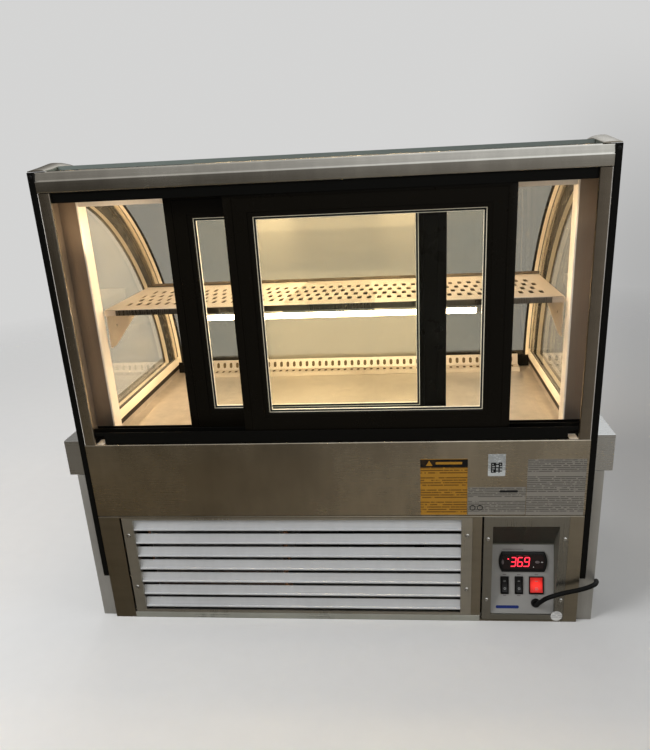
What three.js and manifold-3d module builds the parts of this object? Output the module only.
// Refrigerated display case for baked goods, drop-in type.
// Millimetres, +Z up. The operator's side faces -Y and the customer's side faces +Y.
// The origin is the centre of the underside. Pieces are laid out with Y measured from the operator's face,
// and one group shifts the whole case back so that the origin sits at its centre.
import * as THREE from "three";
import { mergeVertices } from "three/addons/utils/BufferGeometryUtils.js";
import Module from "manifold-3d";

const wasm = await Module();
wasm.setup();

// ---- Driving dimensions -------------------------------------------------------------------------------
const COLLAR_WIDTH = 914.4; // 36 in across the counter collar
const CASE_DEPTH = 533.4; // 21 in from the operator's face to the collar's front
const COLLAR_LIP = 12.7; // how far the collar stands out past the shell
const COLLAR_BOTTOM = 288.4;
const COLLAR_TOP = 351.5;
const REAR_HALF = 417; // half width of the operator's face
const STRIP_WIDTH = 10; // black edge strip beside the operator's face
const APRON_BOTTOM = 210.4;
const APRON_TOP = 346.5;
const HEADER_BOTTOM = 754.4;
const HEADER_TOP = 784.7;
const DECK_TOP = 329.3;
const SHELF_TOP = 560;
const SHEET = 1.5; // sheet metal
const GAP = 0.3; // play between neighbouring pieces

const COLLAR_HALF = COLLAR_WIDTH / 2;
const SHELL_HALF = COLLAR_HALF - COLLAR_LIP;
const SHELL_FRONT = CASE_DEPTH - COLLAR_LIP;
const SHELL_REAR = 8; // the shell and the collar start a little behind the operator's face
const STRIP_OUTER = REAR_HALF + STRIP_WIDTH;

// ---- Finishes -----------------------------------------------------------------------------------------
const finish = (color, roughness, metalness, more = {}) =>
  new THREE.MeshStandardMaterial({ color, roughness, metalness, ...more });
const glazing = (color) => finish(color, 0.05, 0, { transparent: true, opacity: 0.25 });
const FINISH = {
  stainless: () => finish(0x8d8577, 0.35, 1),
  brightTrim: () => finish(0xc9c3b4, 0.25, 1),
  aluminium: () => finish(0xb8bbbd, 0.35, 1),
  blackTrim: () => finish(0x0c0c0c, 0.4, 0),
  blackRubber: () => finish(0x111111, 0.7, 0),
  glass: () => glazing(0xd8e6df),
  silverFace: () => finish(0xa3a29c, 0.5, 0.4),
  blackPlastic: () => finish(0x141414, 0.35, 0),
  redLens: () => finish(0xff2a1c, 0.3, 0),
  greyKey: () => finish(0x6a5a5a, 0.5, 0),
  lamp: () => finish(0xfff6dd, 0.4, 0, { emissive: 0xfff0cc }),
  steel: () => finish(0x9a9a98, 0.3, 1),
  blackPaint: () => finish(0x1a1a1a, 0.45, 0),
  fins: () => finish(0xa9adb0, 0.45, 1),
  copper: () => finish(0xb0703f, 0.3, 1),
  whitePlastic: () => finish(0xd8d8d2, 0.5, 0),
};

// ---- Solids -------------------------------------------------------------------------------------------
// Geometry as a solid that can be joined and cut.
function solid(geometry) {
  const bare = geometry.clone();
  bare.deleteAttribute("normal");
  bare.deleteAttribute("uv");
  const merged = mergeVertices(bare, 1e-4);
  return new wasm.Manifold(
    new wasm.Mesh({
      numProp: 3,
      vertProperties: merged.attributes.position.array,
      triVerts: new Uint32Array(merged.index.array),
    }),
  );
}

// A solid back as geometry.
function geometryOf(made) {
  const mesh = made.getMesh();
  const geometry = new THREE.BufferGeometry();
  geometry.setAttribute("position", new THREE.BufferAttribute(mesh.vertProperties, 3));
  geometry.setIndex(new THREE.BufferAttribute(mesh.triVerts, 1));
  geometry.computeVertexNormals();
  return geometry;
}

const join = (...parts) => geometryOf(parts.map(solid).reduce((all, next) => all.add(next)));
const cut = (base, ...tools) =>
  geometryOf(tools.map(solid).reduce((all, next) => all.subtract(next), solid(base)));

// A box between two corners.
function box([x0, y0, z0], [x1, y1, z1]) {
  const geometry = new THREE.BoxGeometry(Math.abs(x1 - x0), Math.abs(y1 - y0), Math.abs(z1 - z0));
  return geometry.translate((x0 + x1) / 2, (y0 + y1) / 2, (z0 + z1) / 2);
}

// A flat shape from corner points, with its border and its holes all taken counterclockwise.
function outline(points, holes = []) {
  const counterclockwise = (corners) => {
    const at = corners.map(([u, v]) => new THREE.Vector2(u, v));
    return THREE.ShapeUtils.isClockWise(at) ? at.reverse() : at;
  };
  const shape = new THREE.Shape(counterclockwise(points));
  shape.holes = holes.map((hole) => new THREE.Path(counterclockwise(hole)));
  return shape;
}

const extrude = (shape, depth) => new THREE.ExtrudeGeometry(shape, { depth, bevelEnabled: false });

// A side profile, points in (y, z), carried along X.
function alongX(points, x0, x1, holes = []) {
  const turn = new THREE.Matrix4().makeBasis(
    new THREE.Vector3(0, 1, 0),
    new THREE.Vector3(0, 0, 1),
    new THREE.Vector3(1, 0, 0),
  );
  return extrude(outline(points, holes), x1 - x0).applyMatrix4(turn).translate(x0, 0, 0);
}

// A plan profile, points in (x, y), carried along Z.
const alongZ = (points, z0, z1) => extrude(outline(points), z1 - z0).translate(0, 0, z0);

// An elevation, points in (x, z), carried along Y from y0 to y1.
function alongY(points, y0, y1, holes = []) {
  const turn = new THREE.Matrix4().makeBasis(
    new THREE.Vector3(1, 0, 0),
    new THREE.Vector3(0, 0, 1),
    new THREE.Vector3(0, -1, 0),
  );
  return extrude(outline(points, holes), y1 - y0).applyMatrix4(turn).translate(0, y1, 0);
}

// The outline of bent sheet: a line of points and the same line moved to its left by the thickness.
function bentSheet(points, thickness = SHEET) {
  const at = points.map(([u, v]) => new THREE.Vector2(u, v));
  const normal = (a, b) => {
    const along = b.clone().sub(a).normalize();
    return new THREE.Vector2(-along.y, along.x);
  };
  const moved = at.map((point, i) => {
    const before = i > 0 ? normal(at[i - 1], point) : normal(point, at[i + 1]);
    const after = i < at.length - 1 ? normal(point, at[i + 1]) : before;
    const middle = before.clone().add(after).normalize();
    return point.clone().addScaledVector(middle, thickness / middle.dot(before));
  });
  return [...points, ...moved.reverse().map(({ x, y }) => [x, y])];
}

const mirrored = (points) => points.map(([u, v]) => [-u, v]);
const rectangle = (u0, v0, u1, v1) => [[u0, v0], [u1, v0], [u1, v1], [u0, v1]];
const cylinderY = (radius, y0, y1, sides = 24) =>
  new THREE.CylinderGeometry(radius, radius, y1 - y0, sides).translate(0, (y0 + y1) / 2, 0);

const layout = new THREE.Group();
layout.position.y = -CASE_DEPTH / 2;

// Adds one named piece to a group.
function piece(name, geometry, material, parent = layout, position = [0, 0, 0]) {
  const mesh = new THREE.Mesh(geometry, material);
  mesh.name = name;
  mesh.position.set(...position);
  parent.add(mesh);
  return mesh;
}

const SIDES = [["left", -1], ["right", 1]];

// ---- Lower cabinet ------------------------------------------------------------------------------------
function basePan() {
  const half = SHELL_HALF - SHEET - 0.5;
  const rear = SHELL_REAR + 2;
  const front = SHELL_FRONT - SHEET - 0.5;
  const rim = 11;
  const tray = cut(
    box([-half, rear, 0], [half, front, rim]),
    box([-half + SHEET, rear + SHEET, SHEET], [half - SHEET, front - SHEET, rim + 1]),
  );
  piece("base_pan", tray, FINISH.stainless());
}

function outerShell() {
  const flangeEnd = REAR_HALF + 0.5;
  const wrap = bentSheet([
    [-flangeEnd, SHELL_REAR],
    [-SHELL_HALF, SHELL_REAR],
    [-SHELL_HALF, SHELL_FRONT],
    [SHELL_HALF, SHELL_FRONT],
    [SHELL_HALF, SHELL_REAR],
    [flangeEnd, SHELL_REAR],
  ], -SHEET);
  piece("outer_shell", alongZ(wrap, 0, COLLAR_BOTTOM - 0.5), FINISH.stainless());
}

function counterCollar() {
  const glassOpeningHalf = STRIP_OUTER + 0.6;
  const glassOpeningFront = 492.5;
  const collar = cut(
    box([-COLLAR_HALF, SHELL_REAR, COLLAR_BOTTOM], [COLLAR_HALF, CASE_DEPTH, COLLAR_TOP]),
    box(
      [-COLLAR_HALF + SHEET, SHELL_REAR + SHEET, COLLAR_BOTTOM + SHEET],
      [COLLAR_HALF - SHEET, CASE_DEPTH - SHEET, COLLAR_TOP - SHEET],
    ),
    box([-glassOpeningHalf, 0, COLLAR_BOTTOM - 1], [glassOpeningHalf, glassOpeningFront, COLLAR_TOP + 1]),
    box(
      [-SHELL_HALF - 0.4, SHELL_REAR + SHEET, COLLAR_BOTTOM - 1],
      [SHELL_HALF + 0.4, SHELL_FRONT + 0.4, COLLAR_BOTTOM + SHEET + 1],
    ),
  );
  piece("counter_collar", collar, FINISH.stainless());
}

const GRILLE_OPENING = { x0: -383, x1: 235, z0: 12, z1: 207 };
const CONTROL_OPENING = { x0: 250.6, x1: 394.3, z0: 3, z1: 209 };
const FRAME_TOP = APRON_BOTTOM - 0.5;

function rearLowerFrame() {
  const folded = cut(
    box([-REAR_HALF, 0, 0], [REAR_HALF, SHELL_REAR - 0.5, FRAME_TOP]),
    box([-REAR_HALF + SHEET, SHEET, SHEET], [REAR_HALF - SHEET, SHELL_REAR, FRAME_TOP + 1]),
    ...[GRILLE_OPENING, CONTROL_OPENING].map(({ x0, z0, x1, z1 }) => box([x0, -1, z0], [x1, SHELL_REAR, z1])),
  );
  piece("rear_lower_frame", folded, FINISH.stainless());
}

function rearApron() {
  const flangeDepth = 57;
  const profile = bentSheet([
    [14, APRON_BOTTOM],
    [0, APRON_BOTTOM],
    [0, APRON_TOP],
    [flangeDepth, APRON_TOP],
  ], -SHEET);
  piece("rear_apron", alongX(profile, -REAR_HALF, REAR_HALF), FINISH.stainless());
}

// ---- Operator-side posts, header and strips -----------------------------------------------------------
const OPENING_HALF = 398.2; // half width between the posts' face strips
const POCKET_DEPTH = 57; // the doors' edges slide into this pocket
const JAMB_HALF = 384;
const JAMB_DEPTH = 88;
const END_GLASS_INNER = 401;

function rearPosts() {
  const hem = 4;
  const profile = bentSheet([
    [OPENING_HALF, hem],
    [OPENING_HALF, 0],
    [REAR_HALF, 0],
    [REAR_HALF, POCKET_DEPTH + SHEET],
    [JAMB_HALF + SHEET, POCKET_DEPTH + SHEET],
    [JAMB_HALF + SHEET, JAMB_DEPTH - SHEET],
    [END_GLASS_INNER - 0.5, JAMB_DEPTH - SHEET],
  ]);
  for (const [name, side] of SIDES) {
    const plan = side > 0 ? profile : mirrored(profile);
    const post = alongZ(plan, APRON_TOP + 0.5, HEADER_BOTTOM - 0.4);
    piece(`${name}_rear_post`, post, FINISH.stainless());
  }
}

const HEADER_DEPTH = 60;
const INNER_PANEL_BOTTOM = 730;

function rearHeader() {
  const stepHeight = 771;
  const stepDepth = 1.4;
  const rounding = 5;
  const roundSteps = 4;
  const noseCentre = [stepDepth + rounding, HEADER_TOP - rounding];
  const nose = Array.from({ length: roundSteps + 1 }, (_, i) => {
    const angle = Math.PI - (i / roundSteps) * (Math.PI / 2);
    return [noseCentre[0] + rounding * Math.cos(angle), noseCentre[1] + rounding * Math.sin(angle)];
  });
  const outer = [
    [0, HEADER_BOTTOM],
    [0, stepHeight],
    [stepDepth, stepHeight + stepDepth],
    ...nose,
    [HEADER_DEPTH, HEADER_TOP],
    [HEADER_DEPTH, INNER_PANEL_BOTTOM],
    [HEADER_DEPTH - SHEET, INNER_PANEL_BOTTOM],
    [HEADER_DEPTH - SHEET, HEADER_BOTTOM],
  ];
  const inside = [
    [SHEET, HEADER_BOTTOM + SHEET],
    [SHEET, stepHeight],
    [stepDepth + SHEET, stepHeight + stepDepth],
    [stepDepth + SHEET, HEADER_TOP - rounding],
    [stepDepth + rounding, HEADER_TOP - SHEET],
    [HEADER_DEPTH - SHEET, HEADER_TOP - SHEET],
    [HEADER_DEPTH - SHEET, HEADER_BOTTOM + SHEET],
  ];
  const postClearance = SIDES.map(([, side]) => box(
    [side * (JAMB_HALF - 0.5), 0, INNER_PANEL_BOTTOM - 1],
    [side * (REAR_HALF + 1), HEADER_DEPTH + 1, HEADER_BOTTOM],
  ));
  const header = cut(alongX(outer, -REAR_HALF, REAR_HALF, [inside]), ...postClearance);
  piece("rear_header", header, FINISH.stainless());
}

const STRIP_BOTTOM = 89;
const STRIP_FACE = -1;
const STRIP_UPPER_DEPTH = 61.5;

function edgeStrips() {
  const inner = REAR_HALF + 0.4;
  for (const [name, side] of SIDES) {
    const low = box(
      [side * inner, STRIP_FACE, STRIP_BOTTOM],
      [side * STRIP_OUTER, SHELL_REAR - 0.4, HEADER_TOP],
    );
    const high = box(
      [side * inner, STRIP_FACE, COLLAR_TOP + 0.5],
      [side * STRIP_OUTER, STRIP_UPPER_DEPTH, HEADER_TOP],
    );
    piece(`${name}_edge_strip`, join(low, high), FINISH.blackTrim());
  }
}

// ---- Louvred grille -----------------------------------------------------------------------------------
const SLAT_COUNT = 7;
const SLAT_PITCH = 26.5;
const SLAT_TOP = 203;
const SCREW_HEAD_RADIUS = 4;
const SCREW_HEAD_HEIGHT = 2;

function screwHead() {
  const profile = [
    [0, 0],
    [SCREW_HEAD_RADIUS, 0],
    [SCREW_HEAD_RADIUS, 0.6],
    [SCREW_HEAD_RADIUS * 0.7, SCREW_HEAD_HEIGHT * 0.85],
    [0, SCREW_HEAD_HEIGHT],
  ];
  return new THREE.LatheGeometry(profile.map(([r, h]) => new THREE.Vector2(r, h)), 14).rotateX(Math.PI);
}

function screws(prefix, columns, rows, faceY) {
  let number = 1;
  for (const z of rows) {
    for (const x of columns) {
      piece(`${prefix}_screw_${number}`, screwHead(), FINISH.steel(), layout, [x, faceY, z]);
      number += 1;
    }
  }
}

function louvreGrille() {
  const { x1, z0, z1 } = GRILLE_OPENING;
  const x0 = -376;
  const slatLeft = -357;
  const slatRight = 216.5;
  const slatBack = 7.6;
  const bottom = z0 + GAP;
  const top = z1 - GAP;
  const plate = alongY(rectangle(x0, bottom, x1 - GAP, top), 0, SHEET, [
    rectangle(slatLeft, bottom + 5, slatRight, top - 4),
  ]);
  const slatProfile = bentSheet([[0, 4.4], [0, 1.6], [1.8, 0], [slatBack, 17.8]], 1.2);
  const slats = Array.from({ length: SLAT_COUNT }, (_, i) => {
    const slatBottom = SLAT_TOP - 22 - i * SLAT_PITCH;
    return alongX(slatProfile, slatLeft - 1, slatRight + 1).translate(0, 0.2, slatBottom);
  });
  const cheeks = [slatLeft, slatRight].map((x, i) => {
    const outward = i === 0 ? -1 : 1;
    return box([x, 0, bottom], [x + outward * SHEET, slatBack + 6.4, top]);
  });
  piece("louvre_grille", join(plate, ...cheeks, ...slats), FINISH.aluminium());
  screws("grille", [-367.5, 226], [172.5, 66], -GAP);
}

// ---- Control panel ------------------------------------------------------------------------------------
// The recess is a V: a hood slopes back from the face and the control face slopes forward to its foot.
const RECESS = { x0: 269, x1: 379, top: 190, bottom: 14 };
const RECESS_DEEPEST = [35, 138];
const CONTROL_FOOT = [2, 14];
const CONTROL_RUN = [RECESS_DEEPEST[0] - CONTROL_FOOT[0], RECESS_DEEPEST[1] - CONTROL_FOOT[1]];
const CONTROL_TILT = Math.atan2(CONTROL_RUN[0], CONTROL_RUN[1]);

// Places on the control face, with height measured up the slope from its foot.
const THERMOSTAT = { x: 325.5, up: 95, width: 83, height: 36, bodyHalfX: 35.5, bodyHalfZ: 14.5, depth: 46 };
const ROCKERS = [
  { name: "left_rocker", x: 294, up: 52.4, width: 14.4, height: 32, finish: FINISH.blackPlastic },
  { name: "middle_rocker", x: 318.6, up: 52.4, width: 14.4, height: 32, finish: FINISH.blackPlastic },
  { name: "power_rocker", x: 348.6, up: 52.4, width: 25.6, height: 32, finish: FINISH.redLens },
];
const GROMMET = { x: 347.5, up: 20.5, radius: 8, bore: 4.7 };
const ROCKER_WALL = 1.8; // bezel around the rocker
const ROCKER_BODY_INSET = 1.2; // the body behind the panel is this much smaller than the bezel
const BEZEL = 2;

const onControlFace = new THREE.Group();
onControlFace.position.set(0, CONTROL_FOOT[0], CONTROL_FOOT[1]);
onControlFace.rotation.x = -CONTROL_TILT;
layout.add(onControlFace);

// Moves geometry from the control face's own axes into the layout's.
function fromControlFace(geometry) {
  onControlFace.updateMatrix();
  return geometry.applyMatrix4(onControlFace.matrix);
}

function controlPanel() {
  const plateX = [254, 394];
  const plateZ = [3.4, 208.6];
  const frame = alongY(rectangle(plateX[0], plateZ[0], plateX[1], plateZ[1]), 0, SHEET, [
    rectangle(RECESS.x0, RECESS.bottom, RECESS.x1, RECESS.top),
  ]);
  const hollow = [
    [-1, RECESS.top],
    [0, RECESS.top],
    RECESS_DEEPEST,
    CONTROL_FOOT,
    [0, RECESS.bottom],
    [-1, RECESS.bottom],
  ];
  const skin = [
    [0, RECESS.top + SHEET],
    [0.6, RECESS.top + SHEET],
    [RECESS_DEEPEST[0] + SHEET, RECESS_DEEPEST[1] + 0.3],
    [CONTROL_FOOT[0] + SHEET, RECESS.bottom - SHEET],
    [0, RECESS.bottom - SHEET],
  ];
  const tray = cut(
    alongX(skin, RECESS.x0 - SHEET, RECESS.x1 + SHEET),
    alongX(hollow, RECESS.x0, RECESS.x1),
  );
  const holes = [
    box(
      [THERMOSTAT.x - THERMOSTAT.bodyHalfX - 0.5, -5, THERMOSTAT.up - THERMOSTAT.bodyHalfZ - 0.5],
      [THERMOSTAT.x + THERMOSTAT.bodyHalfX + 0.5, 8, THERMOSTAT.up + THERMOSTAT.bodyHalfZ + 0.5],
    ),
    ...ROCKERS.map(({ x, up, width, height }) => {
      const halfWidth = width / 2 - ROCKER_BODY_INSET + 0.4;
      const halfHeight = height / 2 - ROCKER_BODY_INSET + 0.4;
      return box([x - halfWidth, -5, up - halfHeight], [x + halfWidth, 8, up + halfHeight]);
    }),
    cylinderY(GROMMET.radius - 1.5, -5, 8, 20).translate(GROMMET.x, 0, GROMMET.up),
  ].map(fromControlFace);
  piece("control_panel", cut(join(frame, tray), ...holes), FINISH.silverFace());
  screws("control", [261, 388], [166, 45], -GAP);
}

const KEYS = [
  { name: "thermostat_set_key", x: -35, radiusX: 2, radiusZ: 4.2 },
  { name: "thermostat_power_key", x: 24.5, radiusX: 4, radiusZ: 2.4 },
];
const BEZEL_PROUD = 4;
const KEY_DEPTH = 3;
const KEY_PROUD = 0.6;

function oval(radiusX, radiusZ, y0, y1) {
  return cylinderY(1, y0, y1, 16).scale(radiusX, 1, radiusZ);
}

function thermostat() {
  const seat = new THREE.Group();
  seat.position.set(THERMOSTAT.x, 0, THERMOSTAT.up);
  onControlFace.add(seat);
  const halfWidth = THERMOSTAT.width / 2;
  const halfHeight = THERMOSTAT.height / 2;
  const bulge = 5; // the ends of the bezel bow outwards
  const endSteps = 6;
  const end = (side) => Array.from({ length: endSteps + 1 }, (_, i) => {
    const t = -1 + (2 * i) / endSteps;
    return [side * (halfWidth - bulge * t * t), side * t * halfHeight];
  });
  const bezel = alongY([...end(1), ...end(-1)], -BEZEL_PROUD, -GAP);
  const { bodyHalfX, bodyHalfZ, depth } = THERMOSTAT;
  const body = box([-bodyHalfX, -1, -bodyHalfZ], [bodyHalfX, depth, bodyHalfZ]);
  const pockets = KEYS.map(({ x, radiusX, radiusZ }) =>
    oval(radiusX + 0.35, radiusZ + 0.35, -6, KEY_DEPTH - BEZEL_PROUD).translate(x, 0, 0),
  );
  piece("thermostat", cut(join(bezel, body), ...pockets), FINISH.blackPlastic(), seat);
  for (const { name, x, radiusX, radiusZ } of KEYS) {
    const outer = -BEZEL_PROUD - KEY_PROUD;
    const key = oval(radiusX, radiusZ, outer, outer + KEY_DEPTH - 0.5);
    piece(name, key, FINISH.greyKey(), seat, [x, 0, 0]);
  }
}

const ROCKER_PIVOT_DEPTH = 6;
const ROCKER_TIP = THREE.MathUtils.degToRad(8);

function rockerSwitches() {
  for (const { name, x, up, width, height, finish: rockerFinish } of ROCKERS) {
    const seat = new THREE.Group();
    seat.position.set(x, 0, up);
    onControlFace.add(seat);
    const halfWidth = width / 2;
    const halfHeight = height / 2;
    const wellHalfWidth = halfWidth - ROCKER_WALL;
    const wellHalfHeight = halfHeight - ROCKER_WALL;
    const housing = cut(
      join(
        box([-halfWidth, -BEZEL - GAP, -halfHeight], [halfWidth, -GAP, halfHeight]),
        box(
          [-halfWidth + ROCKER_BODY_INSET, -1, -halfHeight + ROCKER_BODY_INSET],
          [halfWidth - ROCKER_BODY_INSET, 20, halfHeight - ROCKER_BODY_INSET],
        ),
      ),
      box([-wellHalfWidth, -5, -wellHalfHeight], [wellHalfWidth, 14, wellHalfHeight]),
    );
    piece(`${name}_housing`, housing, FINISH.blackPlastic(), seat);
    const reach = wellHalfHeight - 1.2;
    const rockerProfile = [
      [-BEZEL - 1.6 - ROCKER_PIVOT_DEPTH, reach],
      [-BEZEL - 0.2 - ROCKER_PIVOT_DEPTH, 0],
      [-BEZEL - 1.6 - ROCKER_PIVOT_DEPTH, -reach],
      [1.5 - ROCKER_PIVOT_DEPTH, 1 - reach],
      [4, -3],
      [4, 3],
      [1.5 - ROCKER_PIVOT_DEPTH, reach - 1],
    ];
    const rockerHalf = wellHalfWidth - 0.4;
    const rocker = piece(
      name,
      alongX(rockerProfile, -rockerHalf, rockerHalf),
      rockerFinish(),
      seat,
      [0, ROCKER_PIVOT_DEPTH, 0],
    );
    rocker.rotation.x = -ROCKER_TIP; // switched on: the top half is pressed in
  }
}

function cordAndGrommet() {
  const seat = new THREE.Group();
  seat.position.set(GROMMET.x, 0, GROMMET.up);
  onControlFace.add(seat);
  const { radius, bore } = GROMMET;
  const ring = [
    [bore, -7],
    [radius - 2, -7],
    [radius, -2.5],
    [radius, -GAP],
    [radius - 2, -GAP],
    [radius - 2, 5],
    [bore, 5],
    [bore, -7],
  ];
  const grommet = new THREE.LatheGeometry(ring.map(([r, h]) => new THREE.Vector2(r, h)), 20);
  piece("cord_grommet", grommet, FINISH.blackRubber(), seat);

  const cordRadius = 4;
  const throughGrommet = [7, -1, -9].map((depth) =>
    new THREE.Vector3(GROMMET.x, depth, GROMMET.up).applyMatrix4(onControlFace.matrix),
  );
  const sideX = SHELL_HALF + cordRadius + 4;
  const floor = cordRadius + 0.5;
  const plugStart = 330;
  const route = new THREE.CatmullRomCurve3([
    ...throughGrommet,
    new THREE.Vector3(359, -22, 62),
    new THREE.Vector3(385, -14, 68),
    new THREE.Vector3(420, -13, 77),
    new THREE.Vector3(446, -8, 84),
    new THREE.Vector3(sideX + 3, 16, 74),
    new THREE.Vector3(sideX + 2, 60, 34),
    new THREE.Vector3(sideX + 2, 120, floor + 2),
    new THREE.Vector3(sideX + 4, 200, floor + 4),
    new THREE.Vector3(sideX + 5, plugStart - 40, 12),
    new THREE.Vector3(sideX + 5, plugStart + 4, 12),
  ], false, "centripetal");
  const circle = new THREE.Shape().absarc(0, 0, cordRadius, 0, 2 * Math.PI);
  const cord = new THREE.ExtrudeGeometry(circle, {
    extrudePath: route,
    steps: 44,
    curveSegments: 4,
    bevelEnabled: false,
  });
  const plugCentre = sideX + 5;
  const plug = alongZ(
    [
      [plugCentre - 6, plugStart],
      [plugCentre + 6, plugStart],
      [plugCentre + 12, plugStart + 12],
      [plugCentre + 12, plugStart + 36],
      [plugCentre - 12, plugStart + 36],
      [plugCentre - 12, plugStart + 12],
    ],
    0.4,
    24,
  );
  piece("power_cord", join(cord, plug), FINISH.blackRubber());
}

// ---- Tracks and sliding doors -------------------------------------------------------------------------
const TRACK_HALF = 414.8;
const TRACK_NEAR = 4.6;
const TRACK_FAR = 56.5;
const RAIL = 2;
const CHANNEL_RAIL = 29; // the rail between the two channels
const TRACK_FLOOR = APRON_TOP + 0.5;
const UPPER_TRACK_BOTTOM = 739.4;

function tracks() {
  const railTops = { near: 367, middle: 365, far: 360 };
  const floorTop = TRACK_FLOOR + RAIL;
  const lower = [
    [TRACK_NEAR, TRACK_FLOOR],
    [TRACK_FAR, TRACK_FLOOR],
    [TRACK_FAR, railTops.far],
    [TRACK_FAR - RAIL, railTops.far],
    [TRACK_FAR - RAIL, floorTop],
    [CHANNEL_RAIL + RAIL, floorTop],
    [CHANNEL_RAIL + RAIL, railTops.middle],
    [CHANNEL_RAIL, railTops.middle],
    [CHANNEL_RAIL, floorTop],
    [TRACK_NEAR + RAIL, floorTop],
    [TRACK_NEAR + RAIL, railTops.near],
    [TRACK_NEAR, railTops.near],
  ];
  const drainNotches = SIDES.map(([, side]) =>
    box([side * 382, 0, TRACK_FLOOR - 1], [side * OPENING_HALF, CHANNEL_RAIL - 3, 361]),
  );
  piece("lower_track", cut(alongX(lower, -TRACK_HALF, TRACK_HALF), ...drainNotches), FINISH.blackTrim());

  const top = HEADER_BOTTOM - 0.4;
  const upper = [
    [TRACK_NEAR, UPPER_TRACK_BOTTOM],
    [TRACK_NEAR + RAIL, UPPER_TRACK_BOTTOM],
    [TRACK_NEAR + RAIL, top - RAIL],
    [CHANNEL_RAIL, top - RAIL],
    [CHANNEL_RAIL, UPPER_TRACK_BOTTOM],
    [CHANNEL_RAIL + RAIL, UPPER_TRACK_BOTTOM],
    [CHANNEL_RAIL + RAIL, top - RAIL],
    [TRACK_FAR - RAIL, top - RAIL],
    [TRACK_FAR - RAIL, UPPER_TRACK_BOTTOM],
    [TRACK_FAR, UPPER_TRACK_BOTTOM],
    [TRACK_FAR, top],
    [TRACK_NEAR, top],
  ];
  piece("upper_track", alongX(upper, -TRACK_HALF, TRACK_HALF), FINISH.blackTrim());
}

const DOOR = {
  width: 429.5,
  bottom: 349.8,
  top: 748,
  stile: 42,
  glassBottom: 395.5,
  glassTop: 707,
  thickness: 19,
};
const DOORS = [
  { name: "outer_door", centreX: 75.3, y: 8.3 },
  { name: "inner_door", centreX: -23.5, y: 32.8 },
];

function slidingDoors() {
  const half = DOOR.width / 2;
  const glassHalf = half - DOOR.stile;
  const grip = 5; // how far the frame's groove holds the glass
  const unit = 12; // thickness of the double glazing
  const middle = DOOR.thickness / 2;
  for (const { name, centreX, y } of DOORS) {
    const door = new THREE.Group();
    door.position.set(centreX, y, 0);
    layout.add(door);
    const pane = (extra) => box(
      [-glassHalf - grip - extra, middle - unit / 2 - extra, DOOR.glassBottom - grip - extra],
      [glassHalf + grip + extra, middle + unit / 2 + extra, DOOR.glassTop + grip + extra],
    );
    const frame = alongY(rectangle(-half, DOOR.bottom, half, DOOR.top), 0, DOOR.thickness, [
      rectangle(-glassHalf, DOOR.glassBottom, glassHalf, DOOR.glassTop),
    ]);
    piece(`${name}_frame`, cut(frame, pane(GAP)), FINISH.blackTrim(), door);
    piece(`${name}_glass`, pane(0), FINISH.glass(), door);
  }
}

// ---- Display glazing ----------------------------------------------------------------------------------
// The inner face of the curved glass in side view is a quarter of a superellipse.
const CURVE = { centreY: 75, centreZ: 345, reachY: 405, reachZ: 440.6, power: 1.8 };
const GLASS = 6;
const RAIL_PROUD = 11.5; // the end rails stand out past the glass's inner face
const RAIL_DEPTH = 20;
const GLAZING_REAR = 62;
const GLAZING_BOTTOM = APRON_TOP - 0.2;
const CURVE_STEPS = 18;
const LEDGE_TOP = DECK_TOP - SHEET - GAP; // stainless ledge round the deck

// Points from the foot of the curve to its top, moved outwards by an offset, as (y, z).
function curve(offset) {
  const { centreY, centreZ, reachY, reachZ, power } = CURVE;
  return Array.from({ length: CURVE_STEPS + 1 }, (_, i) => {
    const angle = (i / CURVE_STEPS) * (Math.PI / 2);
    const c = Math.cos(angle) ** (2 / power);
    const s = Math.sin(angle) ** (2 / power);
    const normal = new THREE.Vector2(c ** (power - 1) / reachY, s ** (power - 1) / reachZ).normalize();
    return [centreY + reachY * c + offset * normal.x, centreZ + reachZ * s + offset * normal.y];
  });
}

// The region between the curve and the case's rear and bottom edges.
function underCurve(offset, rear, bottom) {
  const points = curve(offset).filter(([y, z]) => y > rear && z > bottom);
  const top = CURVE.centreZ + CURVE.reachZ + offset;
  return [[rear, bottom], [points[0][0], bottom], ...points, [rear, top]];
}

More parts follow.
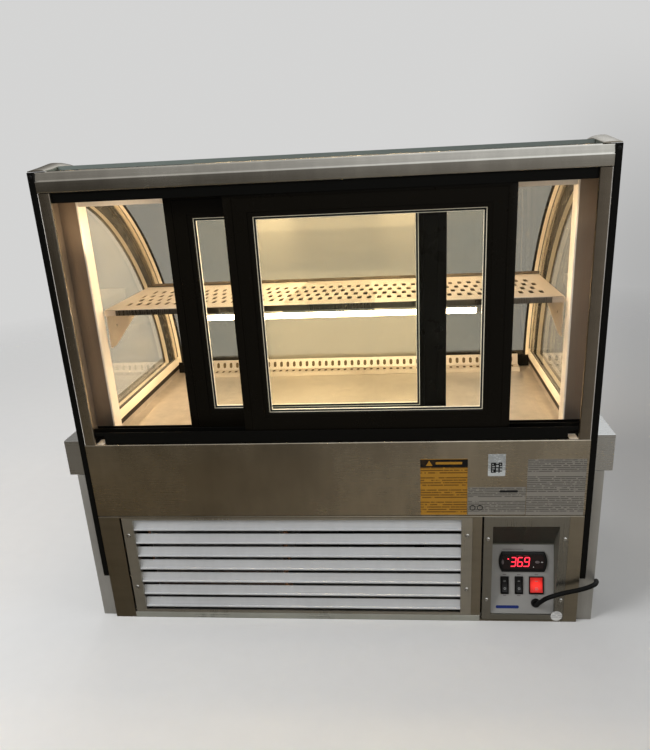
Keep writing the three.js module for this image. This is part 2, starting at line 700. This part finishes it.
function displayGlazing() {
  const sill = 17;
  const capStart = 3; // each rail runs out over the header in a low wedge
  const capBottom = HEADER_TOP + 0.5;
  const capRise = 2;
  const railTop = CURVE.centreZ + CURVE.reachZ + RAIL_PROUD;
  const cap = [
    [capStart, capBottom],
    [capStart, capBottom + capRise],
    [GLAZING_REAR + 1, railTop],
    [GLAZING_REAR + 1, capBottom],
  ];
  for (const [name, side] of SIDES) {
    const inner = END_GLASS_INNER;
    const span = side > 0 ? [inner, STRIP_OUTER] : [-STRIP_OUTER, -inner];
    const clear = underCurve(-RAIL_DEPTH, GLAZING_REAR - 1, GLAZING_BOTTOM + sill);
    const rail = cut(
      join(alongX(underCurve(RAIL_PROUD, GLAZING_REAR, GLAZING_BOTTOM), ...span), alongX(cap, ...span)),
      alongX(clear, span[0] - 1, span[1] + 1),
    );
    piece(`${name}_end_rail`, rail, FINISH.brightTrim());
    const glassSpan = side > 0 ? [inner + 1.5, STRIP_OUTER - 2] : [-STRIP_OUTER + 2, -inner - 1.5];
    const glass = alongX(
      underCurve(-RAIL_DEPTH - GAP, GLAZING_REAR, GLAZING_BOTTOM + sill + GAP),
      ...glassSpan,
    );
    piece(`${name}_end_glass`, glass, FINISH.glass());
  }
  const glassHalf = END_GLASS_INNER - 0.4;
  const rearEdge = 48;
  const topInner = CURVE.centreZ + CURVE.reachZ;
  const foot = GLAZING_BOTTOM + 1;
  const inside = curve(0).filter(([, z]) => z > foot);
  const outside = curve(GLASS).filter(([, z]) => z > foot);
  const sheet = [
    [CURVE.centreY + CURVE.reachY, foot],
    ...inside,
    [rearEdge, topInner],
    [rearEdge, topInner + GLASS],
    ...outside.reverse(),
    [CURVE.centreY + CURVE.reachY + GLASS, foot],
  ];
  piece("front_glass", alongX(sheet, -glassHalf, glassHalf), FINISH.glass());

  const footY = CURVE.centreY + CURVE.reachY;
  const channel = [
    [footY - 4.5, LEDGE_TOP + 0.5],
    [footY + GLASS + 3.5, LEDGE_TOP + 0.5],
    [footY + GLASS + 3.5, 353],
    [footY + GLASS + 0.5, 353],
    [footY + GLASS + 0.5, foot - 0.5],
    [footY - 0.5, foot - 0.5],
    [footY - 1.2, 353],
    [footY - 4.5, 353],
  ];
  piece("front_glass_gasket", alongX(channel, -glassHalf, glassHalf), FINISH.blackRubber());
}

// ---- Well, deck and duct ------------------------------------------------------------------------------
const WELL = { half: 440, rear: 64, front: 517, bottom: 214 };
const WELL_CAVITY = { half: 374, rear: 96, front: 464, bottom: 242 };
const DECK_FRONT = 430;

function insulatedWell() {
  const rim = GLAZING_BOTTOM - 0.5;
  const gasketFront = CURVE.centreY + CURVE.reachY + GLASS + 4;
  const well = cut(
    box([-WELL.half, WELL.rear, WELL.bottom], [WELL.half, WELL.front, rim]),
    box([-END_GLASS_INNER, JAMB_DEPTH + 1, LEDGE_TOP], [END_GLASS_INNER, gasketFront, rim + 1]),
    box(
      [-WELL_CAVITY.half, WELL_CAVITY.rear, WELL_CAVITY.bottom],
      [WELL_CAVITY.half, WELL_CAVITY.front, rim + 1],
    ),
  );
  piece("insulated_well", well, FINISH.stainless());
}

function deck() {
  const half = WELL_CAVITY.half + 1.9;
  const bottom = DECK_TOP - SHEET;
  const rear = WELL_CAVITY.rear - 4;
  const hem = 14;
  const inset = 2.6;
  const panel = join(
    box([-half, rear, bottom], [half, DECK_FRONT, DECK_TOP]),
    ...SIDES.map(([, side]) => box(
      [side * (WELL_CAVITY.half - inset), WELL_CAVITY.rear + 1, bottom - hem],
      [side * (WELL_CAVITY.half - inset - SHEET), DECK_FRONT, DECK_TOP],
    )),
  );
  piece("deck_panel", panel, FINISH.stainless());

  const riserFoot = 464;
  const riserTop = 471.5;
  const riserHeight = 21;
  const plateTop = DECK_TOP + 7;
  const duct = bentSheet([
    [DECK_FRONT + 1, DECK_TOP],
    [DECK_FRONT + 6, plateTop],
    [riserFoot, plateTop],
    [riserTop, plateTop + riserHeight],
  ], -SHEET);
  const ductHalf = WELL_CAVITY.half + 1;
  piece("air_duct_cover", alongX(duct, -ductHalf, ductHalf), FINISH.stainless());
}

// ---- Shelf and lamps ----------------------------------------------------------------------------------
const SHELF = { half: 380, near: 84, far: 296, lip: 10.5, farLip: 7 };
const BRACKET_WIDTH = 18;

function shelfAndBrackets() {
  const under = SHELF_TOP - SHEET;
  const lipHalf = SHELF.half - BRACKET_WIDTH;
  const shelf = join(
    box([-SHELF.half, SHELF.near, under], [SHELF.half, SHELF.far, SHELF_TOP]),
    box([-lipHalf, SHELF.near, SHELF_TOP - SHELF.lip], [lipHalf, SHELF.near + SHEET, SHELF_TOP]),
    box([-SHELF.half, SHELF.far - SHEET, under], [SHELF.half, SHELF.far, SHELF_TOP + SHELF.farLip]),
  );
  piece("shelf", shelf, FINISH.stainless());
  const top = under - GAP;
  for (const [name, side] of SIDES) {
    const inner = side * (lipHalf + 0.6);
    const outer = side * (SHELF.half + 2);
    const web = side * (SHELF.half + 0.2);
    const gusset = [
      [JAMB_DEPTH + 1, top],
      [JAMB_DEPTH + 1, 492],
      [JAMB_DEPTH + 22, 492],
      [SHELF.far - 10, top - 12],
      [SHELF.far - 10, top],
    ];
    const bracket = join(
      box([inner, SHELF.near, top - SHEET], [outer, SHELF.far - 10, top]),
      box([inner, SHELF.near, SHELF_TOP - SHELF.lip], [outer, SHELF.near + SHEET, top]),
      alongX(gusset, Math.min(web, outer), Math.max(web, outer)),
    );
    const holes = [[125, 525], [180, 529]].map(([y, z]) =>
      new THREE.CylinderGeometry(3, 3, 20, 12).rotateZ(Math.PI / 2).translate(outer, y, z),
    );
    piece(`${name}_shelf_bracket`, cut(bracket, ...holes), FINISH.stainless());
  }
}

const LAMP_HALF = 252;
const TUBE_RADIUS = 5.5;

function lamps() {
  const tube = (y, z) => new THREE.CylinderGeometry(TUBE_RADIUS, TUBE_RADIUS, 2 * LAMP_HALF, 12)
    .rotateZ(Math.PI / 2)
    .translate(0, y, z);
  const shelfTubeZ = 539;
  const seat = box([-LAMP_HALF, 92, shelfTubeZ + 3], [LAMP_HALF, 108, SHELF_TOP - SHEET - GAP]);
  piece("shelf_lamp", join(tube(100, shelfTubeZ), seat), FINISH.lamp());
  const headerTubeZ = 748;
  const headerSeat = box([-LAMP_HALF, HEADER_DEPTH + GAP, 745], [LAMP_HALF, 70, 762]);
  piece("header_lamp", join(tube(73, headerTubeZ), headerSeat), FINISH.lamp());
}

// ---- Refrigeration ------------------------------------------------------------------------------------
// An axial fan about the Y axis: a hub and pitched blades.
function fanRotor(hubRadius, tipRadius, width, bladeCount) {
  const blade = () => new THREE.BoxGeometry(tipRadius - hubRadius + 4, 1.6, width * 1.15)
    .rotateX(THREE.MathUtils.degToRad(55))
    .translate((tipRadius + hubRadius - 4) / 2, 0, 0);
  const blades = Array.from({ length: bladeCount }, (_, i) =>
    blade().rotateY((i / bladeCount) * 2 * Math.PI),
  );
  return join(cylinderY(hubRadius, -width / 2, width / 2, 20), ...blades);
}

const CONDENSER = { x: -220, z: 106, half: 130, near: 30, far: 74, low: 12, high: 204 };
const CONDENSER_FAN = { y: 90, radius: 84 };

function condenserUnit() {
  const { x, z, half, near, far, low, high } = CONDENSER;
  const shroudHalf = 96;
  const shroud = cut(
    box([x - shroudHalf, far - 1, low], [x + shroudHalf, far + 26, high]),
    cylinderY(CONDENSER_FAN.radius + 3, far, far + 40, 28).translate(x, 0, z),
  );
  const coil = join(box([x - half, near, low], [x + half, far, high]), shroud);
  piece("condenser_coil", coil, FINISH.fins());

  const fan = fanRotor(22, CONDENSER_FAN.radius, 16, 5);
  piece("condenser_fan", fan, FINISH.aluminium(), layout, [x, CONDENSER_FAN.y, z]);

  const motorNear = CONDENSER_FAN.y + 9;
  const motor = join(
    cylinderY(30, motorNear, motorNear + 42, 20).translate(x, 0, z),
    box([x - 8, motorNear + 12, SHEET + GAP], [x + 8, motorNear + 32, z]),
    box([x - 40, motorNear + 8, SHEET + GAP], [x + 40, motorNear + 36, SHEET + 4]),
  );
  piece("condenser_fan_motor", motor, FINISH.blackPaint());
}

const COMPRESSOR = { x: 70, y: 300, radius: 74, top: 196 };

function compressor() {
  const { x, y, radius, top } = COMPRESSOR;
  const foot = SHEET + GAP;
  const profile = [
    [0, foot + 14],
    [radius * 0.8, foot + 14],
    [radius, foot + 34],
    [radius, top - 62],
    [radius * 0.93, top - 30],
    [radius * 0.7, top - 9],
    [0, top],
  ];
  const can = new THREE.LatheGeometry(profile.map(([r, h]) => new THREE.Vector2(r, h)), 28)
    .rotateX(Math.PI / 2)
    .translate(x, y, 0);
  const feet = [[-1, -1], [1, -1], [1, 1], [-1, 1]].map(([i, j]) =>
    new THREE.CylinderGeometry(11, 11, 14, 12)
      .rotateX(Math.PI / 2)
      .translate(x + i * 80, y + j * 60, foot + 7),
  );
  const plate = box([x - 95, y - 74, foot + 12], [x + 95, y + 74, foot + 17]);
  const terminalBox = box([x - 22, y - radius - 22, 60], [x + 22, y - radius + 12, 104]);
  piece("compressor", join(can, plate, terminalBox, ...feet), FINISH.blackPaint());

  const tap = [x + radius - 6, y, 120];
  const line = new THREE.CatmullRomCurve3([
    new THREE.Vector3(tap[0] + 7, tap[1], tap[2]),
    new THREE.Vector3(tap[0] + 40, tap[1], tap[2]),
    new THREE.Vector3(tap[0] + 70, tap[1] - 6, tap[2] + 20),
    new THREE.Vector3(tap[0] + 76, tap[1] - 10, tap[2] + 60),
    new THREE.Vector3(tap[0] + 76, tap[1] - 10, WELL.bottom - 0.5),
  ], false, "centripetal");
  const bore = new THREE.Shape().absarc(0, 0, 5, 0, 2 * Math.PI);
  const pipe = new THREE.ExtrudeGeometry(bore, {
    extrudePath: line,
    steps: 16,
    curveSegments: 4,
    bevelEnabled: false,
  });
  piece("suction_line", pipe, FINISH.copper());

  const pan = cut(
    box([-360, 230, SHEET + GAP], [-110, 440, 44]),
    box([-357, 233, SHEET + GAP + 3], [-113, 437, 50]),
  );
  piece("condensate_pan", pan, FINISH.whitePlastic());
}

const EVAPORATOR_FAN = { y: 262, z: 284, radius: 32 };

function evaporatorUnit() {
  const low = WELL_CAVITY.bottom + GAP;
  const high = 312;
  const coil = join(
    box([-300, 130, low], [300, 215, high]),
    box([-303, 126, low], [-300, 219, high + 2]),
    box([300, 126, low], [303, 219, high + 2]),
  );
  piece("evaporator_coil", coil, FINISH.fins());
  const { y, z, radius } = EVAPORATOR_FAN;
  piece("evaporator_fan", fanRotor(12, radius, 12, 5), FINISH.blackPlastic(), layout, [0, y, z]);
  const back = y + 8;
  const motor = join(
    cylinderY(17, back, back + 30, 16).translate(0, 0, z),
    box([-40, back + 12, low], [40, back + 15, high + 2]),
    box([-40, back - 10, low], [40, back + 15, low + 2]),
  );
  piece("evaporator_fan_motor", motor, FINISH.blackPaint());
}

// ---- Assembly -----------------------------------------------------------------------------------------
basePan();
outerShell();
counterCollar();
rearLowerFrame();
rearApron();
rearPosts();
rearHeader();
edgeStrips();
louvreGrille();
controlPanel();
thermostat();
rockerSwitches();
cordAndGrommet();
tracks();
slidingDoors();
displayGlazing();
insulatedWell();
deck();
shelfAndBrackets();
lamps();
condenserUnit();
compressor();
evaporatorUnit();

const displayCase = new THREE.Group();
displayCase.add(layout);

export default displayCase;
